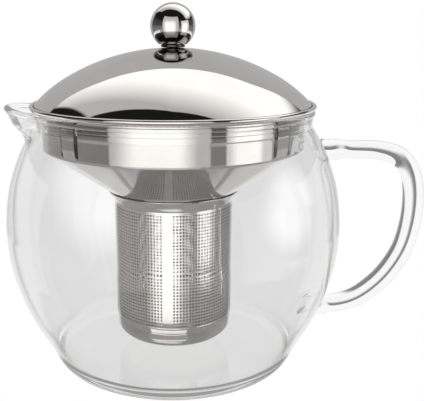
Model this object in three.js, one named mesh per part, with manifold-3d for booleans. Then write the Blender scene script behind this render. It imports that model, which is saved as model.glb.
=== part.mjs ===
// A blown-glass teapot with a steel infuser and a domed steel lid.
// Millimetres, +Z up. The origin is the centre of the flat base, the spout points
// along -X and the handle along +X.
import * as THREE from "three";
import { mergeVertices } from "three/addons/utils/BufferGeometryUtils.js";
import Module from "manifold-3d";

const wasm = await Module();
wasm.setup();

// Driving dimensions
const BELLY_R = 75; // widest outer radius of the glass
const SEAT_Z = 116; // height of the plane that the lid's edge lies in
const BELLY_Z = 62; // height of the widest point
const GAP = 0.3; // clearance between pieces that touch

// Glass jug
const FOOT_R = BELLY_R - 23; // radius of the flat that the jug rests on
const INNER_FOOT_R = FOOT_R - 3; // radius of the flat inside
const FLOOR_Z = 4; // inside of the jug's floor
const HEEL_R = BELLY_R - 17; // outer radius at the top of the rounded heel
const HEEL_Z = 8;
const HEEL_CORNER = 3.2; // from HEEL_R in to the corner that the heel rounds off
const HEEL_CORNER_INSIDE = 2.6;
const NECK_R = BELLY_R - 13.9; // narrowest outer radius, below the rim
const NECK_Z = SEAT_Z - 8.8;
const NECK_WALL = 2;
const BELLY_WALL = 3;
const HEEL_WALL = 2.2;
const RIM_R = NECK_R - 0.25; // middle of the fire-polished rim
const RIM_HALF_WIDTH = 1.5;
const RIM_HALF_HEIGHT = 1.4;
const RIM_Z = SEAT_Z - 3.3;
const RIM_TUCK_OUT = 1.1; // angles that the rim's bead turns back under itself
const RIM_TUCK_IN = 0.5;

// Pouring lip, drawn out of the rim on the -X side
const LIP_REACH = 12.2;
const LIP_RISE = 1.3;
const LIP_RISE_START = 0.35; // share of the reach at which the lip starts to rise
const LIP_HALF_ANGLE = THREE.MathUtils.degToRad(27);
const LIP_START_Z = SEAT_Z - 16;
const LIP_FULL_Z = SEAT_Z - 6.5;

// Handle, a solid glass rod fused to the jug at both ends
const HANDLE_R = 4.4;
const HANDLE_TOP_Z = SEAT_Z - 21.2;
const HANDLE_REACH = BELLY_R + 36.4; // centre of the rod at its farthest

// Infuser
const SHEET = 0.6;
const COLLAR_R = NECK_R - 3; // outer radius of the straight collar
const FLANGE_R = COLLAR_R + 4.65;
const FLANGE_BEAD = 1; // radius of the rolled edge, which stands up round the lid
const FLANGE_BEAD_Z = SEAT_Z - 0.65;
const ROLL_START = THREE.MathUtils.degToRad(-126); // where the sheet runs into the roll
const LEDGE_Z = SEAT_Z - 0.9; // top of the flange, inside its rolled edge
const LEDGE_FILLET = 2; // between collar and flange
const FUNNEL_TOP_Z = SEAT_Z - 17.9;
const FUNNEL_BEND = 1.4;
const OUTLET_R = 28.8;
const OUTLET_Z = SEAT_Z - 39.3;
const BASKET_R = 26.8;
const MESH_SHEET = 0.4;
const RING_WALL = 0.7; // thickness of the ring at its foot
const RING_SHOULDER_R = 28.2; // the ring's side bulges towards this radius at mid height
const RING_BOTTOM_Z = SEAT_Z - 44;
const CUP_R = BASKET_R - 0.1;
const CUP_TOP_Z = SEAT_Z - 95.4;
const CUP_BOTTOM_Z = SEAT_Z - 105.3;
const CUP_CORNER = 4.5;
const CUP_SHEET = 0.5;

// Spring tabs, lanced out of the collar to grip the neck
const TAB_COUNT = 4;
const TAB_FIRST_ANGLE = THREE.MathUtils.degToRad(46.5);
const TAB_WIDTH = 7.4;
const TAB_BULGE = 0.6;
const TAB_MARGIN = 1.5; // from the ends of the slits to the bulge
const SLIT_WIDTH = 0.9;
const SLIT_DEPTH = 4;
const SLIT_BOTTOM_Z = SEAT_Z - 17.2;
const SLIT_TOP_Z = SEAT_Z - 3.8;

// Lid
const LID_SHEET = 0.7;
const LID_EDGE_DROP = 0.6; // how far the edge hangs below the seat plane
const LID_EDGE_RISE = 0.3; // how far above it the upright edge ends
const LID_HEIGHT = 24; // top of the dome above the seat
const CROWN_R = 92.5; // the dome is part of a sphere
const SHOULDER_R = 56; // and turns down to its edge over a tighter arc
const SHOULDER_START = 48; // distance from the axis at which that arc starts
const SKIRT_R = COLLAR_R - 2;
const SKIRT_BOTTOM_Z = SEAT_Z - 9.2;
const SKIRT_TOP_Z = SEAT_Z + 3.2;

// Knob, screwed on from under the lid
const BALL_R = 9.8;
const BALL_Z = SEAT_Z + 33.1;
const BEAD_R = 5.4;
const BEAD_HEIGHT = 0.8;
const SCREW_R = 2;
const BORE_R = 2.3;
const BORE_SPARE = 0.8; // depth of the ball's bore past the end of the screw
const HEAD_R = 4;
const HEAD_HEIGHT = 2.2;
const SOCKET_R = 1.4;
const SOCKET_DEPTH = 1.4;
const WASHER_R = 5.4;
const WASHER_HEIGHT = 1;

// Heights of the knob's stack, from the washer up
const WASHER_TOP_Z = SEAT_Z + LID_HEIGHT - LID_SHEET - GAP;
const HEAD_TOP_Z = WASHER_TOP_Z - WASHER_HEIGHT - GAP;
const BEAD_Z = SEAT_Z + LID_HEIGHT + GAP;
const BALL_FLAT_Z = BEAD_Z + BEAD_HEIGHT + GAP;
const SCREW_END_Z = BALL_Z - 3.6;

const LARGE_RING = 48; // sides of the big turned pieces
const SMALL_RING = 32;
const SCREW_SIDES = 24;

const glass = new THREE.MeshStandardMaterial({
  color: 0xe6ebea,
  roughness: 0.03,
  metalness: 0,
  transparent: true,
  opacity: 0.35,
});
const polishedSteel = new THREE.MeshStandardMaterial({
  color: 0xb9b5b1,
  roughness: 0.06,
  metalness: 1,
});
const satinSteel = new THREE.MeshStandardMaterial({
  color: 0xa8a39d,
  roughness: 0.3,
  metalness: 1,
});
const zincSteel = new THREE.MeshStandardMaterial({
  color: 0x9a9a98,
  roughness: 0.4,
  metalness: 1,
});
const silicone = new THREE.MeshStandardMaterial({
  color: 0xcfcfcb,
  roughness: 0.7,
  metalness: 0,
});

const at = (r, z) => new THREE.Vector2(r, z);

// Turns an outline of (radius, height) points about the Z axis. It runs anticlockwise,
// from axis to axis or back to its first point.
function turned(outline, sides = LARGE_RING) {
  return new THREE.LatheGeometry(outline, sides).rotateX(Math.PI / 2);
}

// A turned ring: its outline is closed for it.
function turnedRing(outline, sides = LARGE_RING) {
  return turned([...outline, outline[0].clone()], sides);
}

function arc(r, z, halfWidth, halfHeight, start, end, steps) {
  const sweep = new THREE.EllipseCurve(r, z, halfWidth, halfHeight, start, end);
  return sweep.getPoints(steps);
}

// Moves each point of a line to its left by a thickness that may depend on the point.
function offset(line, thickness) {
  return line.map((p, i) => {
    const before = line[Math.max(i - 1, 0)];
    const after = line[Math.min(i + 1, line.length - 1)];
    const along = after.clone().sub(before).normalize();
    const t = thickness(p);
    return at(p.x - along.y * t, p.y + along.x * t);
  });
}

function solidOf(geometry) {
  const bare = geometry.clone();
  bare.deleteAttribute("normal");
  bare.deleteAttribute("uv");
  const merged = mergeVertices(bare, 1e-4);
  return new wasm.Manifold(
    new wasm.Mesh({
      numProp: 3,
      vertProperties: merged.attributes.position.array,
      triVerts: new Uint32Array(merged.index.array),
    }),
  );
}

function geometryOf(solid) {
  const mesh = solid.getMesh();
  const geometry = new THREE.BufferGeometry();
  geometry.setAttribute(
    "position",
    new THREE.BufferAttribute(mesh.vertProperties, 3),
  );
  geometry.setIndex(new THREE.BufferAttribute(mesh.triVerts, 1));
  geometry.computeVertexNormals();
  return geometry;
}

function piece(name, geometry, material) {
  const mesh = new THREE.Mesh(geometry, material);
  mesh.name = name;
  return mesh;
}

// The jug's outer wall, from the top of the heel up to the neck.
function outerWall() {
  return new THREE.SplineCurve([
    at(HEEL_R, HEEL_Z),
    at(BELLY_R - 7.4, 26.5),
    at(BELLY_R - 1.8, 44),
    at(BELLY_R, BELLY_Z),
    at(BELLY_R - 2, 80),
    at(BELLY_R - 7.6, 96),
    at(NECK_R, NECK_Z),
  ]).getPoints(10);
}

// A rounded heel, from the edge of a flat out and up to a point of the wall.
function heel(flatR, flatZ, wallPoint, corner) {
  return new THREE.QuadraticBezierCurve(
    at(flatR, flatZ),
    at(wallPoint.x - corner, flatZ),
    wallPoint,
  ).getPoints(3);
}

// How far the lip is drawn out at a point of the wall, from 0 to 1.
function lipShare(x, y, z) {
  const aside = Math.abs(Math.atan2(y, -x));
  if (aside >= LIP_HALF_ANGLE) return 0;
  const across = Math.cos(((Math.PI / 2) * aside) / LIP_HALF_ANGLE) ** 2;
  return across * THREE.MathUtils.smoothstep(z, LIP_START_Z, LIP_FULL_Z);
}

function drawOutLip(geometry) {
  const position = geometry.attributes.position;
  for (let i = 0; i < position.count; i++) {
    const x = position.getX(i);
    const y = position.getY(i);
    const z = position.getZ(i);
    const share = lipShare(x, y, z);
    const r = Math.hypot(x, y);
    if (share === 0 || r < NECK_R / 2) continue;
    const grown = (r + LIP_REACH * share) / r;
    const rise = LIP_RISE * THREE.MathUtils.smoothstep(share, LIP_RISE_START, 1);
    position.setXYZ(i, x * grown, y * grown, z + rise);
  }
  return geometry;
}

// The wall thins from the belly up to the neck and down to the heel.
function wallThickness(p) {
  const lerp = THREE.MathUtils.mapLinear;
  if (p.y > BELLY_Z) return lerp(p.y, BELLY_Z, NECK_Z, BELLY_WALL, NECK_WALL);
  return lerp(p.y, BELLY_Z, HEEL_Z, BELLY_WALL, HEEL_WALL);
}

function glassBody() {
  const wall = outerWall();
  const inside = offset(wall, wallThickness);
  const rim = arc(
    RIM_R,
    RIM_Z,
    RIM_HALF_WIDTH,
    RIM_HALF_HEIGHT,
    -RIM_TUCK_OUT,
    Math.PI + RIM_TUCK_IN,
    7,
  );
  const heelInside = heel(INNER_FOOT_R, FLOOR_Z, inside[0], HEEL_CORNER_INSIDE);
  const outline = [
    at(0, 0),
    ...heel(FOOT_R, 0, wall[0], HEEL_CORNER),
    ...wall.slice(1),
    ...rim,
    ...inside.slice(1).reverse(),
    ...heelInside.reverse(),
    at(0, FLOOR_Z),
  ];
  return piece("glass_body", drawOutLip(turned(outline)), glass);
}

// The rod is trimmed to the jug's outside, which it is fused to.
function handle() {
  const route = new THREE.CatmullRomCurve3(
    [
      [BELLY_R - 13, HANDLE_TOP_Z],
      [BELLY_R + 6.5, HANDLE_TOP_Z],
      [BELLY_R + 18, HANDLE_TOP_Z - 0.4],
      [BELLY_R + 27.6, HANDLE_TOP_Z - 3.4],
      [BELLY_R + 34, HANDLE_TOP_Z - 10.6],
      [HANDLE_REACH, HANDLE_TOP_Z - 22.1],
      [BELLY_R + 35.7, HANDLE_TOP_Z - 36],
      [BELLY_R + 32, HANDLE_TOP_Z - 49],
      [BELLY_R + 23.6, HANDLE_TOP_Z - 62.2],
      [BELLY_R + 11.6, HANDLE_TOP_Z - 72.5],
      [BELLY_R - 2, HANDLE_TOP_Z - 76.3],
      [BELLY_R - 20, HANDLE_TOP_Z - 78],
    ].map(([x, z]) => new THREE.Vector3(x, 0, z)),
  );
  const section = new THREE.Shape().absarc(0, 0, HANDLE_R, 0, 2 * Math.PI);
  const rod = new THREE.ExtrudeGeometry(section, {
    extrudePath: route,
    steps: 34,
    curveSegments: 6,
  });
  const grownWall = offset(outerWall(), () => -GAP);
  const core = turned([at(0, HEEL_Z), ...grownWall, at(0, NECK_Z)]);
  const trimmed = solidOf(rod).subtract(solidOf(core));
  return piece("handle", geometryOf(trimmed), glass);
}

// The bulged middle of a tab, which starts halfway into the collar's sheet.
function springTab(angle) {
  const halfAngle = TAB_WIDTH / 2 / COLLAR_R;
  const from = angle - halfAngle;
  const to = angle + halfAngle;
  const plan = new THREE.Shape()
    .absarc(0, 0, COLLAR_R + TAB_BULGE, from, to)
    .absarc(0, 0, COLLAR_R - SHEET / 2, to, from, true);
  const pad = new THREE.ExtrudeGeometry(plan, {
    depth: SLIT_TOP_Z - SLIT_BOTTOM_Z - 2 * TAB_MARGIN,
    bevelEnabled: false,
    curveSegments: 3,
  });
  return solidOf(pad.translate(0, 0, SLIT_BOTTOM_Z + TAB_MARGIN));
}

function slit(angle) {
  const height = SLIT_TOP_Z - SLIT_BOTTOM_Z;
  const cutter = new THREE.BoxGeometry(SLIT_DEPTH, SLIT_WIDTH, height);
  cutter.translate(COLLAR_R, 0, SLIT_BOTTOM_Z + height / 2);
  return solidOf(cutter.rotateZ(angle));
}

// Rolled flange, collar and funnel, pressed from one sheet.
function infuserBowl() {
  const slope = Math.atan2(FUNNEL_TOP_Z - OUTLET_Z, COLLAR_R - OUTLET_R);
  const bend = arc(
    COLLAR_R - FUNNEL_BEND,
    FUNNEL_TOP_Z,
    FUNNEL_BEND,
    FUNNEL_BEND,
    slope - Math.PI / 2,
    0,
    3,
  );
  const rolledEdge = arc(
    FLANGE_R - FLANGE_BEAD,
    FLANGE_BEAD_Z,
    FLANGE_BEAD,
    FLANGE_BEAD,
    ROLL_START,
    Math.PI + Math.asin((FLANGE_BEAD_Z - LEDGE_Z) / FLANGE_BEAD),
    8,
  );
  const ledgeUnderside = LEDGE_Z - SHEET;
  const fillet = arc(
    COLLAR_R + LEDGE_FILLET,
    ledgeUnderside - LEDGE_FILLET,
    LEDGE_FILLET,
    LEDGE_FILLET,
    Math.PI / 2,
    Math.PI,
    3,
  ).reverse();
  const wall = [
    at(OUTLET_R, OUTLET_Z),
    ...bend,
    fillet[0],
  ];
  const outline = [
    ...wall,
    ...fillet.slice(1),
    ...rolledEdge,
    at(COLLAR_R + SHEET, LEDGE_Z),
    ...offset(wall, () => SHEET).reverse(),
  ];
  let bowl = solidOf(turnedRing(outline));
  const halfTab = (TAB_WIDTH + SLIT_WIDTH) / 2 / COLLAR_R;
  for (let i = 0; i < TAB_COUNT; i++) {
    const angle = TAB_FIRST_ANGLE + (i * 2 * Math.PI) / TAB_COUNT;
    bowl = bowl
      .add(springTab(angle))
      .subtract(slit(angle - halfTab))
      .subtract(slit(angle + halfTab));
  }
  return piece("infuser_bowl", geometryOf(bowl), satinSteel);
}

// The ring that joins the funnel's outlet to the perforated sleeve.
function basketRing() {
  const top = OUTLET_Z - GAP;
  const bottom = RING_BOTTOM_Z + GAP;
  const inner = BASKET_R - RING_WALL;
  const side = new THREE.QuadraticBezierCurve(
    at(BASKET_R, bottom),
    at(RING_SHOULDER_R, (top + bottom) / 2),
    at(OUTLET_R, top),
  ).getPoints(3);
  const outline = [at(inner, bottom), ...side, at(inner, top)];
  return piece("basket_ring", turnedRing(outline, SMALL_RING), polishedSteel);
}

function basketSleeve() {
  const top = RING_BOTTOM_Z;
  const bottom = CUP_TOP_Z + GAP;
  const outline = [
    at(BASKET_R - MESH_SHEET, bottom),
    at(BASKET_R, bottom),
    at(BASKET_R, top),
    at(BASKET_R - MESH_SHEET, top),
  ];
  return piece("basket_sleeve", turnedRing(outline, SMALL_RING), satinSteel);
}

function cupCorner(r) {
  return arc(
    CUP_R - CUP_CORNER,
    CUP_BOTTOM_Z + CUP_CORNER,
    r,
    r,
    -Math.PI / 2,
    0,
    4,
  );
}

function basketCup() {
  const outline = [
    at(0, CUP_BOTTOM_Z),
    ...cupCorner(CUP_CORNER),
    at(CUP_R, CUP_TOP_Z),
    at(CUP_R - CUP_SHEET, CUP_TOP_Z),
    ...cupCorner(CUP_CORNER - CUP_SHEET).reverse(),
    at(0, CUP_BOTTOM_Z + CUP_SHEET),
  ];
  return piece("basket_cup", turned(outline, SMALL_RING), satinSteel);
}

// The dome's outer face, from the top of its upright edge to the rim of the screw hole.
function domeFace() {
  const crownZ = SEAT_Z + LID_HEIGHT - CROWN_R;
  const meet = Math.acos(SHOULDER_START / CROWN_R);
  const shoulderX = (CROWN_R - SHOULDER_R) * Math.cos(meet);
  const shoulderZ = crownZ + (CROWN_R - SHOULDER_R) * Math.sin(meet);
  const low = Math.asin((SEAT_Z + LID_EDGE_RISE - shoulderZ) / SHOULDER_R);
  const hole = Math.acos(BORE_R / CROWN_R);
  const shoulder = arc(shoulderX, shoulderZ, SHOULDER_R, SHOULDER_R, low, meet, 4);
  const crown = arc(0, crownZ, CROWN_R, CROWN_R, meet, hole, 13);
  return [...shoulder, ...crown.slice(1)];
}

function lidDome() {
  const dome = domeFace();
  const face = [at(dome[0].x, SEAT_Z - LID_EDGE_DROP), ...dome];
  const outline = [...face, ...offset(face, () => LID_SHEET).reverse()];
  return piece("lid_dome", turnedRing(outline), polishedSteel);
}

// Locating ring under the dome, which drops into the collar.
function lidSkirt() {
  const outline = [
    at(SKIRT_R - SHEET, SKIRT_BOTTOM_Z),
    at(SKIRT_R, SKIRT_BOTTOM_Z),
    at(SKIRT_R, SKIRT_TOP_Z),
    at(SKIRT_R - SHEET, SKIRT_TOP_Z),
  ];
  return piece("lid_skirt", turnedRing(outline), satinSteel);
}

// A round-edged ring between dome and ball.
function knobBead() {
  const half = BEAD_HEIGHT / 2;
  const middle = BEAD_Z + half;
  const edge = arc(BEAD_R - half, middle, half, half, -Math.PI / 2, Math.PI / 2, 5);
  const outline = [at(BORE_R, BEAD_Z), ...edge, at(BORE_R, BEAD_Z + BEAD_HEIGHT)];
  return piece("knob_bead", turnedRing(outline, SMALL_RING), polishedSteel);
}

// A ball with a flat foot and a blind bore for the screw.
function knobBall() {
  const flatAngle = Math.asin((BALL_FLAT_Z - BALL_Z) / BALL_R);
  const boreTop = SCREW_END_Z + BORE_SPARE;
  const outline = [
    at(0, boreTop),
    at(BORE_R, boreTop),
    at(BORE_R, BALL_FLAT_Z),
    ...arc(0, BALL_Z, BALL_R, BALL_R, flatAngle, Math.PI / 2, 11),
  ];
  return piece("knob_ball", turned(outline, SMALL_RING), polishedSteel);
}

function knobWasher() {
  const bottom = WASHER_TOP_Z - WASHER_HEIGHT;
  const outline = [
    at(BORE_R, bottom),
    at(WASHER_R, bottom),
    at(WASHER_R, WASHER_TOP_Z),
    at(BORE_R, WASHER_TOP_Z),
  ];
  return piece("knob_washer", turnedRing(outline, SMALL_RING), silicone);
}

// Pan-head screw with a hexagon socket.
function knobScrew() {
  const headBottom = HEAD_TOP_Z - HEAD_HEIGHT;
  const outline = [
    at(0, headBottom),
    at(HEAD_R - 1.2, headBottom),
    at(HEAD_R - 0.3, headBottom + 0.5),
    at(HEAD_R, headBottom + 1.2),
    at(HEAD_R, HEAD_TOP_Z),
    at(SCREW_R, HEAD_TOP_Z),
    at(SCREW_R, SCREW_END_Z - 0.5),
    at(SCREW_R - 0.5, SCREW_END_Z),
    at(0, SCREW_END_Z),
  ];
  const socket = new THREE.CylinderGeometry(SOCKET_R, SOCKET_R, 2 * SOCKET_DEPTH, 6)
    .rotateX(Math.PI / 2)
    .translate(0, 0, headBottom);
  const screw = solidOf(turned(outline, SCREW_SIDES)).subtract(solidOf(socket));
  return piece("knob_screw", geometryOf(screw), zincSteel);
}

const jug = new THREE.Group();
jug.add(glassBody(), handle());

const infuser = new THREE.Group();
infuser.add(infuserBowl(), basketRing(), basketSleeve(), basketCup());

const lid = new THREE.Group();
lid.add(
  lidDome(),
  lidSkirt(),
  knobBead(),
  knobBall(),
  knobWasher(),
  knobScrew(),
);

const teapot = new THREE.Group();
teapot.add(jug, infuser, lid);

export default teapot;
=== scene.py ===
from math import asin, atan2, cos, degrees, hypot, pi, radians, sin

import bmesh
import bpy
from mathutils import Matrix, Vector


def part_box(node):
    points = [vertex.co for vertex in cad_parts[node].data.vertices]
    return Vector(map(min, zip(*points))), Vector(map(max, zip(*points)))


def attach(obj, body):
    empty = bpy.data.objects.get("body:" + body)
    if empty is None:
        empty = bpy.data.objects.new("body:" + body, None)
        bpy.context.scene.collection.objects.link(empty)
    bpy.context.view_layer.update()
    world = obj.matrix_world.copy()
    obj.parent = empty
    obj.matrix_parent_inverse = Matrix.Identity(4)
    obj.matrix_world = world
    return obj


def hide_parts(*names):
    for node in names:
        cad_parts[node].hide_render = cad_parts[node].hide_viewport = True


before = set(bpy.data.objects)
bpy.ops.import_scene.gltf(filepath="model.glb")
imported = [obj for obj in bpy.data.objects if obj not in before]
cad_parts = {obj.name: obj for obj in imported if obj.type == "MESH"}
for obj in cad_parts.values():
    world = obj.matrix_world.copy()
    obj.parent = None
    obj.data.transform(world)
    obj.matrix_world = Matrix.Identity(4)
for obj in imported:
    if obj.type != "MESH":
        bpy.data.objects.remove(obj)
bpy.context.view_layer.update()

MM = 0.001


def cad_box(node):
    """The lowest and highest corner of a CAD node, in millimetres."""
    low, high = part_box(node)
    return low / MM, high / MM


# ---------------------------------------------------------------- driving dimensions
BELLY_R = cad_box("glass_body")[1].y
FUNNEL_LOW, FUNNEL_HIGH = cad_box("infuser_bowl")
RING_LOW, RING_HIGH = cad_box("basket_ring")
LID_LOW, LID_HIGH = cad_box("lid_dome")
SLEEVE_LOW, SLEEVE_HIGH = cad_box("basket_sleeve")
CUP_LOW, CUP_HIGH = cad_box("basket_cup")
BALL_LOW, BALL_HIGH = cad_box("knob_ball")
BEAD_LOW, BEAD_HIGH = cad_box("knob_bead")
SCREW_LOW, SCREW_HIGH = cad_box("knob_screw")
WASHER_LOW, WASHER_HIGH = cad_box("knob_washer")
SKIRT_LOW, SKIRT_HIGH = cad_box("lid_skirt")

LID_EDGE_DROP = 0.6
SEAT_Z = LID_LOW.z + LID_EDGE_DROP  # the plane where the lid rests on the flange
BELLY_Z = SEAT_Z - 54
GAP = 0.3  # between neighbouring CAD nodes that are joined on the real pot
CLOSED_GAP = 0.05  # what is left of it where a joint shows

FOOT_R = BELLY_R - 23
INNER_FOOT_R = FOOT_R - 3
FLOOR_Z = 4
HEEL_R = BELLY_R - 17
HEEL_Z = 8
HEEL_CORNER = 3.2
INNER_HEEL_CORNER = 2.6
NECK_R = BELLY_R - 13.9
NECK_Z = SEAT_Z - 8.8
NECK_WALL = 2
BELLY_WALL = 3
HEEL_WALL = 2.2
RIM_R = NECK_R - 0.25
RIM_Z = SEAT_Z - 3.3
RIM_HALF_WIDTH = 1.5
RIM_HALF_HEIGHT = 1.4
RIM_TUCK_OUT = 1.1  # angles in radians that the rim's bead turns back under itself
RIM_TUCK_IN = 0.5

LIP_REACH = 12.2
LIP_RISE = 1.3
LIP_RISE_START = 0.35  # share of the reach at which the lip starts to rise
LIP_HALF_ANGLE = 27
LIP_START_Z = SEAT_Z - 16
LIP_FULL_Z = SEAT_Z - 6.5

HANDLE_TOP_Z = SEAT_Z - 21.2
ROD_R = 4.1
ROD_SWELL = 0.75  # how much thicker the rod is in the middle of its lower half
ROD_FLARE = 0.7  # how much wider it is where it is fused to the jug

SHEET = 0.6
COLLAR_R = NECK_R - 3
FLANGE_BEAD = 1
FLANGE_R = FUNNEL_HIGH.x
FLANGE_BEAD_Z = SEAT_Z - 0.65
ROLL_START = -126  # where the sheet runs into the roll
LEDGE_Z = SEAT_Z - 0.9
LEDGE_FILLET = 2
FUNNEL_TOP_Z = SEAT_Z - 17.9
FUNNEL_BEND = 1.4
OUTLET_R = 28.8
OUTLET_Z = FUNNEL_LOW.z
GROOVE_Z = SEAT_Z - 6.5
GROOVE_DEPTH = 0.07
GROOVE_HALF = 0.5

TAB_COUNT = 4
TAB_FIRST = 46.5  # direction of the first tab
TAB_WIDTH = 7.4
TAB_BULGE = 0.6
SLIT_WIDTH = 1.4
SLIT_BOTTOM_Z = SEAT_Z - 17.2
SLIT_TOP_Z = SEAT_Z - 3.8

BASKET_R = SLEEVE_HIGH.x
RING_SHEET = 0.7
RING_BOTTOM_Z = RING_LOW.z - GAP + 0.04
RING_SHOULDER_R = 28.2
RING_SHOULDER_Z = RING_LOW.z * 0.35 + RING_HIGH.z * 0.65
RING_LIP_R = 29.9
RING_LIP_RISE = 0.5  # how far the lip stands up round the funnel's outlet

MESH_SHEET = 0.4
HOLE_COLUMNS = 120
HOLE_ROWS = 35
HOLE_R = 0.46
HOLE_PITCH = 1.44
HOLE_FIRST = 1.63  # from the sleeve's top edge to the first row
BLANK_COLUMNS = 3
BLANK_ANGLE = -94.5  # direction of the plain strip along the sleeve's seam

LID_SHEET = 0.7
LID_HEIGHT = LID_HIGH.z - SEAT_Z
LID_EDGE_RISE = 0.3
CROWN_R = 92.5
SHOULDER_R = 56
SHOULDER_FROM = 43  # distances from the axis between which the crown bends into the
SHOULDER_TO = 53  # tighter shoulder
BORE_R = 2.3  # of the hole for the knob's screw

SIDES = 256
SMALL_SIDES = 128


# ---------------------------------------------------------------- outlines
def catmull(points, per_span):
    """Uniform Catmull-Rom curve through points."""
    found = []
    last = len(points) - 1
    for i in range(last):
        p0, p1, p2 = points[max(i - 1, 0)], points[i], points[i + 1]
        p3 = points[min(i + 2, last)]
        for k in range(per_span):
            t = k / per_span
            found.append(tuple(
                0.5 * ((2 * b) + (c - a) * t + (2 * a - 5 * b + 4 * c - d) * t**2
                       + (3 * b - a - 3 * c + d) * t**3)
                for a, b, c, d in zip(p0, p1, p2, p3)))
    return found + [tuple(points[-1])]


def arc(r, z, half_width, half_height, start, end, steps):
    """Part of an ellipse about (r, z), between two angles in radians."""
    return [(r + half_width * cos(start + (end - start) * i / steps),
             z + half_height * sin(start + (end - start) * i / steps))
            for i in range(steps + 1)]


def bezier(a, b, c, steps):
    """Curve from a to c that is drawn towards b."""
    found = []
    for i in range(steps + 1):
        t = i / steps
        found.append(tuple((1 - t)**2 * p + 2 * t * (1 - t) * q + t**2 * s
                           for p, q, s in zip(a, b, c)))
    return found


def offset(line, thickness):
    """Moves each point of a line to its left by thickness(height)."""
    found = []
    for i, (r, z) in enumerate(line):
        r0, z0 = line[max(i - 1, 0)]
        r1, z1 = line[min(i + 1, len(line) - 1)]
        length = hypot(r1 - r0, z1 - z0)
        t = thickness(z)
        found.append((r - (z1 - z0) / length * t, z + (r1 - r0) / length * t))
    return found


def smoothstep(x, low, high):
    t = min(max((x - low) / (high - low), 0), 1)
    return t * t * (3 - 2 * t)


# ---------------------------------------------------------------- meshes
def make_object(name, vertices, faces):
    """A mesh object from points in millimetres, with its faces turned outwards."""
    mesh = bpy.data.meshes.new(name)
    mesh.from_pydata([[c * MM for c in v] for v in vertices], [], faces)
    mesh.validate()
    bm = bmesh.new()
    bm.from_mesh(mesh)
    bmesh.ops.recalc_face_normals(bm, faces=bm.faces)
    bm.to_mesh(mesh)
    bm.free()
    piece = bpy.data.objects.new(name, mesh)
    bpy.context.scene.collection.objects.link(piece)
    return piece


def shade(piece, sharp):
    """Smooth shading, but for edges of more than so many degrees."""
    piece.data.shade_smooth()
    piece.data.set_sharp_from_angle(angle=radians(sharp))
    return piece


def ring_angles(sides):
    return [360 * i / sides for i in range(sides)]


def turned(name, profile, angles=None, closed=False, move=None, windows=None):
    """Turns a profile of (r, z) about the Z axis. An open profile starts and ends on the
    axis, and a closed one is a ring. move changes a point, and windows(i, j) leaves out
    the face between angle i and i+1 and profile point j and j+1."""
    angles = angles or ring_angles(SIDES)
    count = len(angles)
    vertices, rows = [], []
    for r, z in profile:
        if r < 1e-6:
            rows.append([len(vertices)] * count)
            vertices.append((0, 0, z))
            continue
        rows.append(list(range(len(vertices), len(vertices) + count)))
        for a in angles:
            x, y = r * cos(radians(a)), r * sin(radians(a))
            vertices.append(move(x, y, z) if move else (x, y, z))
    faces = []
    spans = len(rows) if closed else len(rows) - 1
    for j in range(spans):
        low, high = rows[j], rows[(j + 1) % len(rows)]
        for i in range(count):
            k = (i + 1) % count
            if windows and windows(i, j):
                continue
            corners = [low[i], low[k], high[k], high[i]]
            face = [v for n, v in enumerate(corners) if v not in corners[:n]]
            if len(face) > 2:
                faces.append(face)
    return make_object(name, vertices, faces)


# ---------------------------------------------------------------- glass jug
def jug_outer_wall(per_span=14):
    return catmull([
        (HEEL_R, HEEL_Z),
        (BELLY_R - 7.4, 26.5),
        (BELLY_R - 1.8, 44),
        (BELLY_R, BELLY_Z),
        (BELLY_R - 2, 80),
        (BELLY_R - 7.6, 96),
        (NECK_R, NECK_Z),
    ], per_span)


def wall_thickness(z):
    end_z, end = (NECK_Z, NECK_WALL) if z > BELLY_Z else (HEEL_Z, HEEL_WALL)
    return BELLY_WALL + (end - BELLY_WALL) * (z - BELLY_Z) / (end_z - BELLY_Z)


def heel(flat_r, flat_z, wall_point, corner):
    """The rounding between a flat base and the wall."""
    return bezier((flat_r, flat_z), (wall_point[0] - corner, flat_z), wall_point, 14)


def flat_rings(radius, z, steps=10):
    """Points from the axis out to radius, so that a flat disc has no long thin faces."""
    return [(radius * i / steps, z) for i in range(steps)]


def draw_out_lip(x, y, z):
    """Pulls the rim outwards on the spout's side."""
    r = hypot(x, y)
    aside = abs(degrees(atan2(y, -x)))
    if aside >= LIP_HALF_ANGLE or r < NECK_R / 2:
        return x, y, z
    share = cos(pi / 2 * aside / LIP_HALF_ANGLE)**2 * smoothstep(z, LIP_START_Z, LIP_FULL_Z)
    grown = (r + LIP_REACH * share) / r
    return x * grown, y * grown, z + LIP_RISE * smoothstep(share, LIP_RISE_START, 1)


def jug_shell():
    wall = jug_outer_wall()
    inside = offset(wall, wall_thickness)
    rim = arc(RIM_R, RIM_Z, RIM_HALF_WIDTH, RIM_HALF_HEIGHT,
              -RIM_TUCK_OUT, pi + RIM_TUCK_IN, 32)
    outer_heel = heel(FOOT_R, 0, wall[0], HEEL_CORNER)
    inner_heel = heel(INNER_FOOT_R, FLOOR_Z, inside[0], INNER_HEEL_CORNER)
    profile = (flat_rings(FOOT_R, 0) + outer_heel + wall[1:] + rim
               + inside[:0:-1] + inner_heel[::-1] + flat_rings(INNER_FOOT_R, FLOOR_Z)[::-1])
    return turned("jug_glass", profile, move=draw_out_lip)


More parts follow.
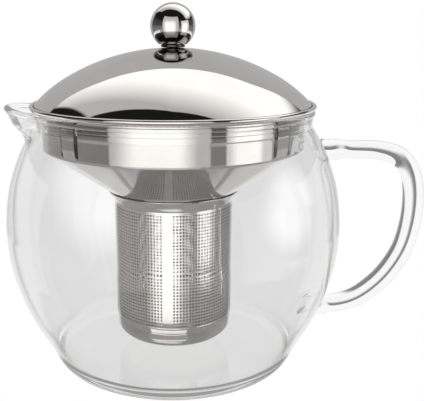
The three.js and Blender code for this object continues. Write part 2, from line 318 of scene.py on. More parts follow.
def handle_route(per_span=10):
    """The rod's centre line, from inside the jug's wall at the top round to the bottom."""
    return catmull([(x, 0, z) for x, z in (
        (BELLY_R - 13, HANDLE_TOP_Z),
        (BELLY_R + 6.5, HANDLE_TOP_Z),
        (BELLY_R + 18, HANDLE_TOP_Z - 0.4),
        (BELLY_R + 27.6, HANDLE_TOP_Z - 3.4),
        (BELLY_R + 33.3, HANDLE_TOP_Z - 10.6),
        (BELLY_R + 35.6, HANDLE_TOP_Z - 22.1),
        (BELLY_R + 34.9, HANDLE_TOP_Z - 36),
        (BELLY_R + 31.4, HANDLE_TOP_Z - 49),
        (BELLY_R + 23.2, HANDLE_TOP_Z - 61.8),
        (BELLY_R + 11.4, HANDLE_TOP_Z - 71.3),
        (BELLY_R - 2, HANDLE_TOP_Z - 74.6),
        (BELLY_R - 20, HANDLE_TOP_Z - 76),
    )], per_span)


def rod_radius(share):
    """Radius by share of the rod's length."""
    swell = ROD_SWELL * smoothstep(share, 0.1, 0.5) * smoothstep(-share, -0.92, -0.72)
    flare = ROD_FLARE * (smoothstep(-share, -0.11, -0.07) + smoothstep(share, 0.87, 0.91))
    return ROD_R + swell + flare


def handle_rod(sides=40):
    route = [Vector(p) for p in handle_route()]
    lengths = [0]
    for a, b in zip(route, route[1:]):
        lengths.append(lengths[-1] + (b - a).length)
    vertices, faces = [], []
    side = Vector((0, 1, 0))
    for i, p in enumerate(route):
        along = (route[min(i + 1, len(route) - 1)] - route[max(i - 1, 0)]).normalized()
        up = along.cross(side)
        radius = rod_radius(lengths[i] / lengths[-1])
        for k in range(sides):
            a = 2 * pi * k / sides
            vertices.append(p + radius * (cos(a) * side + sin(a) * up))
    for row in range(0, (len(route) - 1) * sides, sides):
        for k in range(sides):
            n = (k + 1) % sides
            faces.append([row + k, row + n, row + sides + n, row + sides + k])
    faces.append(list(range(sides)))
    faces.append([len(vertices) - 1 - k for k in range(sides)])
    return make_object("handle_rod", vertices, faces)


def inner_space():
    """What the jug holds, grown by half the wall: it trims the rod inside the glass."""
    wall = offset(jug_outer_wall(), lambda z: wall_thickness(z) / 2)
    return turned("inner_space", [(0, HEEL_Z)] + wall + [(0, NECK_Z)])


def apply_boolean(piece, other, operation):
    """Joins the other mesh to the piece or cuts it away, and removes the other one."""
    modifier = piece.modifiers.new(operation, "BOOLEAN")
    modifier.operation = operation
    modifier.solver = "EXACT"
    modifier.object = other
    depsgraph = bpy.context.evaluated_depsgraph_get()
    mesh = bpy.data.meshes.new_from_object(piece.evaluated_get(depsgraph))
    piece.modifiers.clear()
    piece.data = mesh
    bpy.data.objects.remove(other)


def build_jug():
    jug = jug_shell()
    rod = handle_rod()
    apply_boolean(rod, inner_space(), "DIFFERENCE")
    apply_boolean(jug, rod, "UNION")
    return shade(jug, 40)


# ---------------------------------------------------------------- infuser
def tab_centres():
    return [TAB_FIRST + 360 * i / TAB_COUNT for i in range(TAB_COUNT)]


def slit_edges():
    """Angles of the two sides of every slit."""
    half = degrees((TAB_WIDTH + SLIT_WIDTH) / 2 / COLLAR_R)
    width = degrees(SLIT_WIDTH / 2 / COLLAR_R)
    return [(centre + side * half - width, centre + side * half + width)
            for centre in tab_centres() for side in (-1, 1)]


def on_collar(r):
    return COLLAR_R - 2 < r < COLLAR_R + 0.5


def bulge_tab(x, y, z):
    """Springs each tab's tongue outwards between its slits."""
    r = hypot(x, y)
    angle = degrees(atan2(y, x)) % 360
    if not on_collar(r):
        return x, y, z
    half = degrees(TAB_WIDTH / 2 / COLLAR_R) + 0.01
    for centre in tab_centres():
        if abs(angle - centre) <= half:
            middle = (SLIT_BOTTOM_Z + SLIT_TOP_Z) / 2
            reach = (SLIT_TOP_Z - SLIT_BOTTOM_Z) / 2
            share = max(1 - ((z - middle) / reach)**2, 0)
            grown = (r + TAB_BULGE * min(1, 1.6 * share)) / r
            return x * grown, y * grown, z
    return x, y, z


def collar_angles():
    """Even steps all round, with the slits' sides among them."""
    edges = sorted(a for pair in slit_edges() for a in pair)
    even = [a for a in ring_angles(SIDES) if all(abs(a - e) > 0.4 for e in edges)]
    return sorted(even + edges)


def funnel_line():
    """The bowl's outside, from the outlet up to the flange, with its turned groove."""
    slope = atan2(FUNNEL_TOP_Z - OUTLET_Z, COLLAR_R - OUTLET_R)
    bend = arc(COLLAR_R - FUNNEL_BEND, FUNNEL_TOP_Z, FUNNEL_BEND, FUNNEL_BEND,
               slope - pi / 2, 0, 14)
    cone_r, cone_z = bend[0]
    cone = [(OUTLET_R + (cone_r - OUTLET_R) * i / 12, OUTLET_Z + (cone_z - OUTLET_Z) * i / 12)
            for i in range(12)]
    slit_rows = [SLIT_BOTTOM_Z + (SLIT_TOP_Z - SLIT_BOTTOM_Z) * i / 16 for i in range(17)]
    groove = [(COLLAR_R - GROOVE_DEPTH * (0.5 + 0.5 * cos(pi * k / 4)),
               GROOVE_Z + GROOVE_HALF * k / 4) for k in range(-4, 5)]
    plain = [(COLLAR_R, z) for z in slit_rows if abs(z - GROOVE_Z) > GROOVE_HALF + 0.1]
    collar = sorted(plain + groove, key=lambda p: p[1])
    return cone + bend + collar


def build_funnel():
    """Funnel, collar and flange from one sheet, with the slits cut out of it."""
    line = funnel_line()
    under = LEDGE_Z - SHEET
    fillet = arc(COLLAR_R + LEDGE_FILLET, under - LEDGE_FILLET, LEDGE_FILLET, LEDGE_FILLET,
                 pi, pi / 2, 10)
    rolled = arc(FLANGE_R - FLANGE_BEAD, FLANGE_BEAD_Z, FLANGE_BEAD, FLANGE_BEAD,
                 radians(ROLL_START), pi + asin((FLANGE_BEAD_Z - LEDGE_Z) / FLANGE_BEAD), 32)
    inside = offset(line, lambda z: SHEET)
    profile = (line + fillet + rolled
               + [(COLLAR_R + SHEET, LEDGE_Z), (COLLAR_R, LEDGE_Z - 0.1)] + inside[::-1])
    angles = collar_angles()
    slits = slit_edges()
    centres = [a + (b - a) / 2 for a, b in zip(angles, angles[1:] + [angles[0] + 360])]
    in_slit = [any(low < c % 360 < high for low, high in slits) for c in centres]
    slack = 0.05

    def window(i, j):
        """True for the faces between a slit's sides and its ends."""
        (r0, z0), (r1, z1) = profile[j], profile[(j + 1) % len(profile)]
        return (in_slit[i] and on_collar(r0) and on_collar(r1)
                and min(z0, z1) > SLIT_BOTTOM_Z - slack and max(z0, z1) < SLIT_TOP_Z + slack)

    funnel = turned("infuser_funnel", profile, angles, closed=True, move=bulge_tab,
                    windows=window)
    close_windows(funnel)
    return shade(funnel, 30)


def window_rims(bm):
    """The open edges, one list for each rim, in the same order each run."""
    left = {edge.index: edge for edge in bm.edges if edge.is_boundary}
    rims = []
    while left:
        rim = [left.pop(min(left))]
        for edge in rim:  # grows as neighbours are found
            for vertex in edge.verts:
                for near in vertex.link_edges:
                    if near.index in left:
                        rim.append(left.pop(near.index))
        rims.append(rim)
    return rims


def rim_centre(rim):
    return sum((e.verts[0].co + e.verts[1].co for e in rim), Vector()) / (2 * len(rim))


def close_windows(piece):
    """Joins the outer and inner rims of each window with the sheet's cut edge."""
    bm = bmesh.new()
    bm.from_mesh(piece.data)
    rims = window_rims(bm)
    while rims:
        first = rims.pop()
        middle = rim_centre(first)
        other = min(rims, key=lambda rim: (rim_centre(rim) - middle).length)
        rims.remove(other)
        bmesh.ops.bridge_loops(bm, edges=first + other)
    bmesh.ops.recalc_face_normals(bm, faces=bm.faces)
    bm.to_mesh(piece.data)
    bm.free()


def build_ring():
    """The flared ring between funnel and basket. Its lip wraps the funnel's outlet."""
    top = RING_HIGH.z
    side = bezier((BASKET_R, RING_BOTTOM_Z), (RING_SHOULDER_R, RING_SHOULDER_Z),
                  (RING_LIP_R, top + RING_LIP_RISE), 16)
    inner = BASKET_R - RING_SHEET
    profile = [(inner, RING_BOTTOM_Z), (BASKET_R - 0.15, RING_BOTTOM_Z)] + side[1:-1] + [
        (RING_LIP_R, top + 0.4), (RING_LIP_R - 0.2, top + 0.6),
        (OUTLET_R, top + 0.1), (OUTLET_R - 0.3, top), (inner, top)]
    return shade(turned("infuser_ring", profile, closed=True), 30)


def build_sleeve():
    """Perforated sheet: square cells with a round hole, and a plain strip on the seam."""
    step = 360 / HOLE_COLUMNS
    top, bottom = SLEEVE_HIGH.z, SLEEVE_LOW.z
    row_z = [top - HOLE_FIRST - HOLE_PITCH * i for i in range(HOLE_ROWS)]
    blank_first = round(BLANK_ANGLE / step) - BLANK_COLUMNS // 2
    blank = {(blank_first + i) % HOLE_COLUMNS for i in range(BLANK_COLUMNS)}
    vertices, faces, index = [], [], {}

    def point(angle, z, inner):
        """The number of the vertex there, which is made when it is first asked for."""
        key = (round(angle % 360, 4), round(z, 4), inner)
        if key not in index:
            index[key] = len(vertices)
            r = BASKET_R - MESH_SHEET if inner else BASKET_R
            vertices.append((r * cos(radians(angle)), r * sin(radians(angle)), z))
        return index[key]

    def both_sides(corners):
        outer = [point(a, z, False) for a, z in corners]
        inner = [point(a, z, True) for a, z in corners]
        faces.append(outer)
        faces.append(inner[::-1])

    def pierced_cell(angle, z):
        half_a, half_z = step / 2, HOLE_PITCH / 2
        wide = degrees(HOLE_R / BASKET_R)
        turns = [radians(22.5 + 45 * k) for k in range(8)]
        rim = [(angle + wide * cos(turn), z + HOLE_R * sin(turn)) for turn in turns]
        square = [(angle + half_a, z + half_z), (angle - half_a, z + half_z),
                  (angle - half_a, z - half_z), (angle + half_a, z - half_z)]
        for q in range(4):
            both_sides([square[q], rim[2 * q + 1], rim[2 * q]])
            both_sides([square[q], square[(q + 1) % 4], rim[(2 * q + 2) % 8], rim[2 * q + 1]])
        for k in range(8):
            a, b = rim[k], rim[(k + 1) % 8]
            faces.append([point(*a, False), point(*b, False), point(*b, True), point(*a, True)])

    def plain_cell(angle, z0, z1):
        both_sides([(angle - step / 2, z0), (angle + step / 2, z0),
                    (angle + step / 2, z1), (angle - step / 2, z1)])

    first_edge = row_z[0] + HOLE_PITCH / 2
    last_edge = row_z[-1] - HOLE_PITCH / 2
    for c in range(HOLE_COLUMNS):
        angle = c * step
        for z in row_z:
            if c in blank:
                plain_cell(angle, z - HOLE_PITCH / 2, z + HOLE_PITCH / 2)
            else:
                pierced_cell(angle, z)
        plain_cell(angle, first_edge, top)
        if last_edge > bottom + 0.01:
            plain_cell(angle, bottom, last_edge)
        a, b = angle - step / 2, angle + step / 2
        for z in (top, min(bottom, last_edge)):
            faces.append([point(a, z, False), point(b, z, False),
                          point(b, z, True), point(a, z, True)])
    return shade(make_object("infuser_mesh", vertices, faces), 30)


def build_cup():
    """The basket's closed bottom, a little narrower below than at its upper edge."""
    r = CUP_HIGH.x
    sheet, corner, taper, edge = 0.5, 4.5, 0.2, 0.15
    low, high = CUP_LOW.z, CUP_HIGH.z
    flat_r = r - taper - corner
    lean = 2 * taper / (high - low - corner)
    round_part = arc(flat_r, low + corner, corner, corner, -pi / 2, -lean, 20)
    side = bezier(round_part[-1], (r, (low + corner + high) / 2), (r, high - edge), 12)
    outside = (flat_rings(flat_r, low, 8) + round_part + side[1:]
               + arc(r - edge, high - edge, edge, edge, 0, pi / 2, 4)[1:])
    inside = ([(r - sheet, high)]
              + arc(flat_r, low + corner, corner - sheet, corner - sheet, 0, -pi / 2, 20)
              + flat_rings(flat_r, low + sheet, 8)[::-1])
    return shade(turned("infuser_cup", outside + inside, ring_angles(SMALL_SIDES)), 35)


# ---------------------------------------------------------------- lid and knob
def dome_face():
    """The dome's outside, from its upright edge to the screw hole. The crown's curvature
    grows smoothly into the shoulder's, so that nothing breaks the reflections."""
    slope = asin(BORE_R / CROWN_R)
    r = BORE_R
    z = SEAT_Z + LID_HEIGHT - CROWN_R * (1 - cos(slope))
    step = 0.25
    found = [(r, z)]
    while z > SEAT_Z + LID_EDGE_RISE:
        share = smoothstep(r, SHOULDER_FROM, SHOULDER_TO)
        curvature = 1 / CROWN_R + (1 / SHOULDER_R - 1 / CROWN_R) * share
        middle = slope + curvature * step / 2
        r += step * cos(middle)
        z -= step * sin(middle)
        slope += curvature * step
        found.append((r, z))
    return found[::-1]


def build_dome():
    rolled = 0.3  # rounding under the upright edge
    dome = dome_face()
    edge_r = dome[0][0]
    edge_z = SEAT_Z - LID_EDGE_DROP + rolled
    face = [(edge_r, edge_z)] + dome
    inside = offset(face, lambda z: LID_SHEET)
    bottom = arc(edge_r - LID_SHEET / 2, edge_z, LID_SHEET / 2, rolled, -pi, 0, 8)
    return shade(turned("lid_cap", face + inside[::-1] + bottom[1:-1], closed=True), 35)


def build_skirt():
    r = SKIRT_HIGH.x
    low, high = SKIRT_LOW.z, SKIRT_HIGH.z
    middle = (low + high) / 2
    profile = ([(r, middle), (r, high), (r - SHEET, high), (r - SHEET, low + SHEET / 2)]
               + arc(r - SHEET / 2, low + SHEET / 2, SHEET / 2, SHEET / 2, -pi, 0, 8)[1:])
    return shade(turned("lid_ring", profile, closed=True), 35)


def build_bead():
    """The thin round-edged ring between dome and ball."""
    r = BEAD_HIGH.x
    low, high = BEAD_LOW.z - GAP + CLOSED_GAP, BEAD_HIGH.z + GAP - CLOSED_GAP
    height = high - low
    depth = 0.8 * height
    edge = arc(r - depth, (low + high) / 2, depth, height / 2, -pi / 2, pi / 2, 24)
    profile = [(BORE_R, low)] + edge + [(BORE_R, high)]
    return shade(turned("knob_collar", profile, ring_angles(SMALL_SIDES), closed=True), 35)


def build_ball():
    r = BALL_HIGH.x
    centre = BALL_HIGH.z - r
    start = asin((BALL_LOW.z - centre) / r)
    bore_top = SCREW_HIGH.z + 0.8
    round_part = arc(0, centre, r, r, start, pi / 2, 72)[:-1]
    profile = ([(0, bore_top), (BORE_R, bore_top), (BORE_R, BALL_LOW.z)] + round_part
               + [(0, centre + r)])
    return shade(turned("knob_sphere", profile, ring_angles(SMALL_SIDES)), 35)


def build_washer():
    r = WASHER_HIGH.x
    low, high = WASHER_LOW.z, WASHER_HIGH.z
    half = (high - low) / 2
    edge = arc(r - half, low + half, half, half, -pi / 2, pi / 2, 10)
    profile = [(BORE_R, low)] + edge + [(BORE_R, high)]
    return shade(turned("knob_seal", profile, ring_angles(64), closed=True), 35)


def build_screw():
    """A round-headed screw with a hexagon socket and the thread's grooves."""
    low, high = SCREW_LOW.z, SCREW_HIGH.z
    head_top = WASHER_LOW.z - GAP
    shank, head, socket, depth = 2.0, 4.0, 1.4, 1.4
    rounding, point = 1.1, 0.5
    thread_from, thread_pitch, thread_depth = head_top + 1, 0.7, 0.35
    profile = [(0, low), (socket * 1.25, low)]
    profile += arc(head - rounding, low + rounding, rounding, rounding, -pi / 2, 0, 10)
    profile += [(head, head_top), (shank, head_top), (shank, thread_from)]
    for i in range(int((high - point - thread_from) / thread_pitch)):
        z = thread_from + thread_pitch * i
        profile += [(shank, z + 0.1), (shank - thread_depth, z + 0.35), (shank, z + 0.6)]
    profile += [(shank - point, high), (0, high)]
    screw = turned("knob_bolt", profile, ring_angles(48))
    hexagon = [(socket * cos(radians(60 * k)), socket * sin(radians(60 * k))) for k in range(6)]
    prism = make_object(
        "hexagon",
        [(x, y, z) for z in (low - depth, low + depth) for x, y in hexagon],
        [[0, 1, 2, 3, 4, 5], [11, 10, 9, 8, 7, 6]]
        + [[k, (k + 1) % 6, 6 + (k + 1) % 6, 6 + k] for k in range(6)])
    apply_boolean(screw, prism, "DIFFERENCE")
    return shade(screw, 30)


# ---------------------------------------------------------------- materials
class Nodes:
    """Short forms for building a node tree."""

    def __init__(self, tree):
        self.tree = tree
        tree.nodes.clear()

    def add(self, kind, **settings):
        node = self.tree.nodes.new(kind)
        for key, value in settings.items():
            setattr(node, key, value)
        return node

    def link(self, source, target):
        self.tree.links.new(source, target)

    def feed(self, target, value):
        if isinstance(value, bpy.types.NodeSocket):
            self.link(value, target)
        else:
            target.default_value = value

    def math(self, operation, a, b=0.0):
        node = self.add("ShaderNodeMath", operation=operation)
        self.feed(node.inputs[0], a)
        self.feed(node.inputs[1], b)
        return node.outputs[0]

    def product(self, first, *others):
        for other in others:
            first = self.math("MULTIPLY", first, other)
        return first

    def opposite(self, share):
        return self.math("SUBTRACT", 1, share)

    def between(self, value, low, high):
        return self.product(self.math("GREATER_THAN", value, low),
                            self.math("LESS_THAN", value, high))

    def length(self, a, b):
        return self.math("SQRT", self.math("ADD", self.product(a, a), self.product(b, b)))

    def ramp(self, value, low, high, out_low=0.0, out_high=1.0, smooth=True):
        node = self.add("ShaderNodeMapRange")
        node.interpolation_type = "SMOOTHSTEP" if smooth else "LINEAR"
        self.feed(node.inputs["Value"], value)
        for name, number in (("From Min", low), ("From Max", high),
                             ("To Min", out_low), ("To Max", out_high)):
            node.inputs[name].default_value = number
        return node.outputs["Result"]

    def noise(self, vector, scale, detail, roughness=0.5):
        node = self.add("ShaderNodeTexNoise")
        self.feed(node.inputs["Vector"], vector)
        node.inputs["Scale"].default_value = scale
        node.inputs["Detail"].default_value = detail
        node.inputs["Roughness"].default_value = roughness
        return node.outputs["Fac"]

    def object_place(self):
        return self.add("ShaderNodeTexCoord").outputs["Object"]

    def split(self, vector):
        node = self.add("ShaderNodeSeparateXYZ")
        self.link(vector, node.inputs[0])
        return node.outputs

    def stretched(self, vector, scale):
        node = self.add("ShaderNodeMapping")
        self.link(vector, node.inputs["Vector"])
        node.inputs["Scale"].default_value = scale
        return node.outputs["Vector"]

    def mix_colour(self, factor, a, b):
        node = self.add("ShaderNodeMix", data_type="RGBA")
        self.feed(node.inputs["Factor"], factor)
        self.feed(node.inputs[6], a)
        self.feed(node.inputs[7], b)
        return node.outputs[2]

    def mix_value(self, factor, a, b):
        node = self.add("ShaderNodeMix", data_type="FLOAT")
        for socket, value in zip(node.inputs[:1] + node.inputs[2:4], (factor, a, b)):
            self.feed(socket, value)
        return node.outputs[0]

    def mix_shader(self, factor, a, b):
        node = self.add("ShaderNodeMixShader")
        self.link(factor, node.inputs[0])
        self.link(a, node.inputs[1])
        self.link(b, node.inputs[2])
        return node.outputs[0]

    def glow(self, strength):
        node = self.add("ShaderNodeEmission")
        node.inputs["Strength"].default_value = strength
        return node.outputs[0]

    def see_through(self):
        return self.add("ShaderNodeBsdfTransparent").outputs[0]

    def backdrop(self, strength, colour):
        node = self.add("ShaderNodeBackground")
        self.feed(node.inputs["Strength"], strength)
        node.inputs["Color"].default_value = colour
        return node.outputs[0]

    def output(self, shader, kind):
        self.link(shader, self.add(kind).inputs["Surface"])

    def bump(self, height, strength, distance):
        node = self.add("ShaderNodeBump")
        node.inputs["Strength"].default_value = strength
        node.inputs["Distance"].default_value = distance
        self.link(height, node.inputs["Height"])
        return node.outputs["Normal"]


def new_material(name):
    material = bpy.data.materials.new(name)
    material.use_nodes = True
    return material, Nodes(material.node_tree)


def turned_coordinates(n, ring):
    """Object coordinates as (angle times ring, radius, height), so that patterns follow the
    turning."""
    x, y, z = n.split(n.object_place())
    joined = n.add("ShaderNodeCombineXYZ")
    n.link(n.product(n.math("ARCTAN2", y, x), ring), joined.inputs[0])
    n.link(n.length(x, y), joined.inputs[1])
    n.link(z, joined.inputs[2])
    return joined.outputs[0]


def glass_material():
    material, n = new_material("clear_glass")
    place = n.object_place()
    glass = n.add("ShaderNodeBsdfPrincipled")
    glass.inputs["Transmission Weight"].default_value = 1.0
    glass.inputs["IOR"].default_value = 1.47
    tint = n.noise(place, 30, 1)
    n.link(n.mix_colour(tint, (0.985, 0.99, 0.99, 1), (0.995, 1, 0.998, 1)),
           glass.inputs["Base Color"])
    n.link(n.ramp(n.noise(place, 60, 3), 0.45, 0.8, 0.0, 0.012), glass.inputs["Roughness"])
    waves = n.noise(n.stretched(place, (1, 1, 0.5)), 28, 1)
    n.link(n.bump(waves, 0.35, 0.0008), glass.inputs["Normal"])
    # light that is caught in the wall is let out, so that the heel doesn't turn black
    path = n.add("ShaderNodeLightPath")
    caught = n.math("GREATER_THAN", path.outputs["Glossy Depth"], 2.5)
    passing = n.math("MAXIMUM", path.outputs["Is Shadow Ray"], caught)
    n.output(n.mix_shader(passing, glass.outputs[0], n.see_through()),
             "ShaderNodeOutputMaterial")
    return material


def steel_material(name, light, dark, roughness, line_scale, line_depth, painted_shade_inside=None):
    """Turned stainless steel: soft colour clouds, fine lines round the axis and worn
    patches in the roughness. Nearer the axis than the given radius the colour is painted
    near black and the steel is rougher: painted shade on the sheet's shaded inner face."""
    material, n = new_material(name)
    around = turned_coordinates(n, 0.05)
    place = n.object_place()
    steel = n.add("ShaderNodeBsdfPrincipled")
    steel.inputs["Metallic"].default_value = 1.0
    clouds = n.noise(place, 35, 3)
    colour = n.mix_colour(n.ramp(clouds, 0.3, 0.7), light, dark)
    lines = n.noise(n.stretched(around, (2, 1, 1)), line_scale, 2, 0.6)
    smears = n.noise(place, 90, 4, 0.6)
    spread = n.math("ADD", n.ramp(smears, 0.35, 0.75, 0, 0.35 * roughness),
                    n.ramp(lines, 0.3, 0.7, 0.75 * roughness, roughness))
    # painted shade: the inner face, seen through the holes, is painted near black
    if painted_shade_inside:
        radius = n.split(around)[1]
        inside = n.ramp(radius, (painted_shade_inside - 0.04) * MM, painted_shade_inside * MM, 1, 0)
        colour = n.mix_colour(inside, colour, (0.045, 0.043, 0.04, 1))
        spread = n.math("MAXIMUM", spread, n.product(inside, 0.5))
    n.link(colour, steel.inputs["Base Color"])
    n.link(spread, steel.inputs["Roughness"])
    n.link(n.bump(lines, 1.0, line_depth), steel.inputs["Normal"])
    n.output(steel.outputs[0], "ShaderNodeOutputMaterial")
    return material


def silicone_material():
    material, n = new_material("silicone")
    place = n.object_place()
    rubber = n.add("ShaderNodeBsdfPrincipled")
    rubber.inputs["Subsurface Weight"].default_value = 0.2
    rubber.inputs["Subsurface Scale"].default_value = 0.001
    grain = n.noise(place, 2500, 2)
    n.link(n.mix_colour(n.noise(place, 200, 2), (0.76, 0.76, 0.74, 1), (0.84, 0.84, 0.82, 1)),
           rubber.inputs["Base Color"])
    n.link(n.ramp(grain, 0.3, 0.7, 0.55, 0.75), rubber.inputs["Roughness"])
    n.link(n.bump(grain, 0.3, 0.00003), rubber.inputs["Normal"])
    n.output(rubber.outputs[0], "ShaderNodeOutputMaterial")
    return material


def finish_piece(piece, material, body, slot, *nodes):
    """Gives the piece its material and body, and hides the CAD nodes it stands for.
    The slot is not used.
    """
    piece.data.materials.clear()
    piece.data.materials.append(material)
    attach(piece, body)
    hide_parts(*nodes)


# ---------------------------------------------------------------- studio
def build_floor():
    """A pale table top that runs out of every view. The camera sees it as plain white, and
    outer surfaces mirror it close behind the pot. All other light passes through it to the
    studio's own light below the horizon."""
    half, steps, drop = 2500, 8, 0.3
    vertices, faces = [], []
    for i in range(steps + 1):
        for k in range(steps + 1):
            vertices.append((half * (2 * i / steps - 1), half * (2 * k / steps - 1), -drop))
    for i in range(steps):
        for k in range(steps):
            a = i * (steps + 1) + k
            faces.append([a, a + steps + 1, a + steps + 2, a + 1])
    floor = make_object("floor", vertices, faces)
    material, n = new_material("pale_floor")
    place = n.object_place()
    distance = n.add("ShaderNodeVectorMath", operation="LENGTH")
    n.link(place, distance.inputs[0])
    near = n.ramp(distance.outputs["Value"], 0.2, 0.35, 1, 0)
    behind = n.ramp(n.split(place)[1], -0.03, -0.01)
    seen = n.add("ShaderNodeLightPath").outputs["Is Camera Ray"]
    white = n.math("MAXIMUM", seen, n.product(near, behind, outer_reflection(n)))
    n.output(n.mix_shader(white, n.see_through(), n.glow(1.0)), "ShaderNodeOutputMaterial")
    floor.data.materials.append(material)


def outer_reflection(n):
    """1 for light mirrored straight off an outer surface, without passing any glass."""
    path = n.add("ShaderNodeLightPath")
    return n.product(n.math("MINIMUM", path.outputs["Glossy Depth"], 1),
                     n.math("LESS_THAN", path.outputs["Transmission Depth"], 0.5))


def build_card():
    """A white card that curves round behind the pot, about as high as the neck. Only outer
    surfaces mirror it, which keeps the outline of the glass light."""
    radius, height = 130, 108
    start, sweep, steps = -20, 220, 48
    vertices, faces = [], []
    for i in range(steps + 1):
        a = radians(start + sweep * i / steps)
        for z in (0, height / 2, height):
            vertices.append((radius * cos(a), radius * sin(a), z))
    for i in range(steps):
        for k in (0, 1):
            faces.append([3 * i + k, 3 * i + 3 + k, 3 * i + 4 + k, 3 * i + 1 + k])
    card = make_object("card", vertices, faces)
    material, n = new_material("white_card")
    n.output(n.mix_shader(outer_reflection(n), n.see_through(), n.glow(0.97)),
             "ShaderNodeOutputMaterial")
    card.data.materials.append(material)


def reflected_studio(n, x, y, z):
    """Light level by direction, as the steel mirrors it: two soft boxes in front, a dark room
    beside them, a grey wall low behind and a ceiling that is bright above and behind.
    Bearings are degrees from -Y towards +X, and heights are degrees above the horizon."""
    bearing = n.product(n.math("ARCTAN2", x, n.product(y, -1)), 180 / pi)
    height = n.product(n.math("ARCSINE", z), 180 / pi)
    aside = n.math("ABSOLUTE", bearing)

    path = n.add("ShaderNodeLightPath")
    inside = n.math("GREATER_THAN", path.outputs["Transmission Depth"], 0.5)
    outside = n.opposite(inside)
    again = n.math("GREATER_THAN", path.outputs["Glossy Depth"], 1.5)

    def patch(left, right, bottom, top, soft=1.2):
        return n.product(n.ramp(bearing, left - soft, left + soft),
                         n.ramp(bearing, right - soft, right + soft, 1, 0),
                         n.ramp(height, bottom - soft, bottom + soft),
                         n.ramp(height, top - soft, top + soft, 1, 0))

    def soft_box(left, right, bottom_inside, bottom_outside, top, hot, fade, rim):
        """brightest between the two hot bearings and below the two fade heights, and a
        little taller outside the glass than through it"""
        hottest = 1.45
        centre = n.product(n.ramp(bearing, left, hot[0]),
                           n.ramp(bearing, hot[1], right - 8, 1, 0),
                           n.ramp(height, fade[0], fade[1], 1, 0))
        level = n.math("ADD", n.product(centre, hottest - rim), rim)
        shape = n.math("MAXIMUM", n.product(patch(left, right, bottom_inside, top), inside),
                       n.product(patch(left, right, bottom_outside, top), outside))
        return n.product(shape, level)

    wide_box = soft_box(-54, 30.5, -24.5, -29.5, 43.5, hot=(-28, 3), fade=(6, 34), rim=0.62)
    side_box = soft_box(43.5, 89, -20.5, -26, 21, hot=(56, 74), fade=(2, 18), rim=0.8)
    grey_under_box = n.product(patch(-54, 30.5, -46, -24.5), 0.34)
    line_under_box = n.product(patch(-50, 26, -45, -35), inside, 1.2)
    straight_behind = n.product(n.ramp(y, 0.74, 0.84), inside, 0.9)

    room = n.math("ADD", n.product(n.ramp(height, -4, 4, 1, 0), 0.13),
                  n.product(n.ramp(height, 10, 30, 1, 0), 0.06))
    table = n.product(n.ramp(height, -16, -11, 1, 0), n.ramp(height, -30, -20, 0.1, 0.2))
    low = n.math("ADD", n.math("ADD", room, table), 0.012)

    # the wall's top edge curves: it is highest straight behind
    wall_top = n.math("SUBTRACT", n.ramp(x, 0.35, 0.85, 1.1, 0.66), n.product(x, x, 0.87))
    slope = n.math("DIVIDE", z, n.math("MAXIMUM", y, 0.01))
    under_top = n.ramp(n.math("SUBTRACT", slope, wall_top), -0.01, 0.03, 1, 0)
    leaning = n.math("ADD", y, n.product(z, 1.06))
    side_wall = n.product(n.ramp(leaning, 0.52, 0.6), n.ramp(x, 0.5, 0.6),
                          n.ramp(height, -6, 4))
    wall = n.product(under_top, n.math("MAXIMUM", n.ramp(aside, 120, 136), side_wall),
                     n.ramp(height, -22, -12), 0.49)

    def slanted(left, right):
        """y, sheared by a share of x on each side"""
        shear = n.math("ADD", n.product(n.math("MINIMUM", x, 0), left),
                       n.product(n.math("MAXIMUM", x, 0), right))
        return n.math("ADD", y, shear)

    ceiling = n.product(n.ramp(slanted(0.35, 0.16), -0.09, -0.07), n.ramp(height, 20, 34),
                        n.ramp(x, -0.65, -0.62), n.opposite(under_top),
                        n.ramp(slanted(0.7, 0.27), -0.02, 0.42, 0.56, 1.33, smooth=False))
    tray = n.product(n.ramp(height, -17, -11, 1, 0), n.ramp(aside, 128, 150),
                     n.ramp(height, -55, -42, 0.35, 0.7), inside)

    # the table's bright middle, by where a ray would meet it
    down = n.math("MAXIMUM", n.product(z, -1), 0.05)
    across, along = n.math("DIVIDE", x, down), n.math("DIVIDE", y, down)
    shine = n.product(n.ramp(z, -0.5, -0.45, 1, 0), n.ramp(across, -0.75, -0.5),
                      n.ramp(across, 0.05, 0.35, 1, 0), n.ramp(along, -0.95, -0.6),
                      n.ramp(along, -0.35, -0.1, 1, 0), inside, n.opposite(again))

    level = low
    for other in (wall, ceiling, tray, shine, wide_box, side_box, grey_under_box,
                  line_under_box, straight_behind):
        level = n.math("MAXIMUM", level, other)
    # what the knob and the dome mirror in each other is dimmer
    return n.product(level, n.opposite(n.product(again, outside, 0.55)))


def sweep_through_jug(n, x, y, z):
    """Light level of the white sweep, as the jug's wall bends it: a darker edge all round
    and two soft lamp glows."""
    view_y, view_z = 0.956, 0.292  # the view looks along +Y and a little down
    facing = n.math("SUBTRACT", n.product(y, view_y), n.product(z, view_z))
    edge = n.product(n.ramp(facing, 0.68, 0.74), n.ramp(facing, 0.78, 0.82, 1, 0),
                     n.ramp(z, -0.6, 0.1, 0.4, 0.5))

    def lamp_glow(side, height, radius, strength):
        away = n.length(n.math("SUBTRACT", x, side), n.math("SUBTRACT", z, height))
        return n.ramp(away, radius * 0.3, radius, strength, 0)

    glows = n.math("ADD", lamp_glow(0.215, -0.265, 0.08, 0.24),
                   lamp_glow(-0.12, -0.23, 0.12, 0.2))
    return n.product(n.opposite(edge), n.math("ADD", n.ramp(y, -0.6, 0.15, 0.5, 0.79), glows))


def sweep_through_rod(n, x, z):
    """Light level of the sweep, as the handle's rod bends it: a dark strip that lies low on
    the right, and darkness beyond it."""
    low_right = n.math("SUBTRACT", x, z)
    strip = n.product(n.ramp(low_right, 0.33, 0.37), n.ramp(low_right, 0.48, 0.66, 1, 0),
                      n.ramp(x, 0.08, 0.18), 0.8)
    beyond = n.product(n.ramp(low_right, 0.98, 1.1), n.ramp(x, 0.35, 0.5), 0.8)
    return n.product(n.opposite(strip), n.opposite(beyond), 0.97)


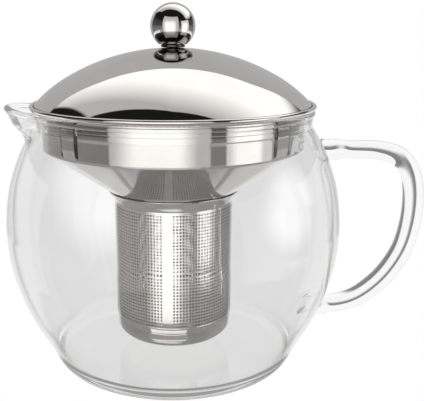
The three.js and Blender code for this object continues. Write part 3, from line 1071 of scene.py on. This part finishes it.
def build_world():
    """Plain white behind the pot, the studio in its steel, and a white sweep with darker
    surroundings for the light that the glass bends."""
    world = bpy.data.worlds.new("studio")
    bpy.context.scene.world = world
    world.use_nodes = True
    world.cycles.sampling_method = "NONE"
    n = Nodes(world.node_tree)
    x, y, z = n.split(n.add("ShaderNodeTexCoord").outputs["Generated"])
    path = n.add("ShaderNodeLightPath")
    mirrored = n.math("MINIMUM", path.outputs["Glossy Depth"], 1)
    crossings = path.outputs["Transmission Depth"]
    # light that crossed one wall only was turned inside the glass, not mirrored by steel
    one_wall = n.between(crossings, 0.5, 2.5)
    in_rod = n.product(one_wall, n.opposite(mirrored))
    in_steel = n.product(mirrored, n.opposite(one_wall), n.math("LESS_THAN", crossings, 4.5))
    # light let out of a wall that had caught it has crossed one surface only, and is dimmed
    let_out = n.product(n.between(crossings, 0.5, 1.5), 0.58)

    through_jug = n.product(sweep_through_jug(n, x, y, z), n.opposite(let_out))
    through_rod = sweep_through_rod(n, x, z)
    sweep = n.backdrop(n.mix_value(in_rod, through_jug, through_rod), (1, 1, 0.995, 1))
    studio = n.backdrop(reflected_studio(n, x, y, z), (1, 0.985, 0.97, 1))
    plain = n.backdrop(1.0, (1, 1, 1, 1))
    bent = n.mix_shader(in_steel, sweep, studio)
    n.output(n.mix_shader(path.outputs["Is Camera Ray"], bent, plain),
             "ShaderNodeOutputWorld")


def build_camera():
    distance, above_seat = 306.5, 32.6
    tilt, turn = 14.16, 1.08
    camera = bpy.data.objects.new("camera", bpy.data.cameras.new("camera"))
    bpy.context.scene.collection.objects.link(camera)
    camera.data.sensor_width = 36
    camera.data.lens = 58.4
    camera.data.shift_x = 0.0608
    camera.data.clip_start = 0.01
    camera.location = Vector((0, -distance, SEAT_Z + above_seat)) * MM
    camera.rotation_euler = (radians(90 - tilt), 0, radians(-turn))
    bpy.context.scene.camera = camera


build_camera()
build_world()
build_floor()
build_card()
bpy.context.scene.view_settings.view_transform = "Standard"

GLASS = glass_material()
MIRROR_STEEL = steel_material("mirror_steel", (0.80, 0.785, 0.77, 1), (0.74, 0.725, 0.71, 1),
                              0.025, 900, 0.0000008)
SATIN_STEEL = steel_material("turned_steel", (0.78, 0.765, 0.745, 1), (0.72, 0.705, 0.685, 1),
                             0.05, 1400, 0.000002)
# the perforated sheet's inner face gets painted shade, near black
MESH_STEEL = steel_material("perforated_steel", (0.81, 0.795, 0.77, 1), (0.74, 0.72, 0.7, 1),
                            0.06, 1400, 0.000003, painted_shade_inside=BASKET_R - MESH_SHEET + 0.06)
# a darker copy of the steel for the bead: painted shade, where it sits shaded between dome and
# ball
PAINTED_SHADE_STEEL = steel_material("painted_shade_steel", (0.34, 0.33, 0.32, 1), (0.28, 0.27, 0.26, 1),
                              0.2, 900, 0.000001)
ZINC = steel_material("zinc_steel", (0.62, 0.62, 0.61, 1), (0.5, 0.5, 0.5, 1),
                      0.35, 2500, 0.00001)
SILICONE = silicone_material()

finish_piece(build_jug(), GLASS, "jug", "borosilicate_glass", "glass_body", "handle")
finish_piece(build_funnel(), SATIN_STEEL, "infuser", "satin_steel", "infuser_bowl")
finish_piece(build_ring(), MIRROR_STEEL, "infuser", "polished_steel", "basket_ring")
finish_piece(build_sleeve(), MESH_STEEL, "infuser", "perforated_steel", "basket_sleeve")
finish_piece(build_cup(), SATIN_STEEL, "infuser", "satin_steel", "basket_cup")
finish_piece(build_dome(), MIRROR_STEEL, "lid", "polished_steel", "lid_dome")
finish_piece(build_skirt(), SATIN_STEEL, "lid", "satin_steel", "lid_skirt")
# the bead wears the darker steel as painted shade
finish_piece(build_bead(), PAINTED_SHADE_STEEL, "lid", "polished_steel", "knob_bead")
finish_piece(build_ball(), MIRROR_STEEL, "lid", "polished_steel", "knob_ball")
finish_piece(build_washer(), SILICONE, "lid", "silicone", "knob_washer")
finish_piece(build_screw(), ZINC, "lid", "zinc_steel", "knob_screw")
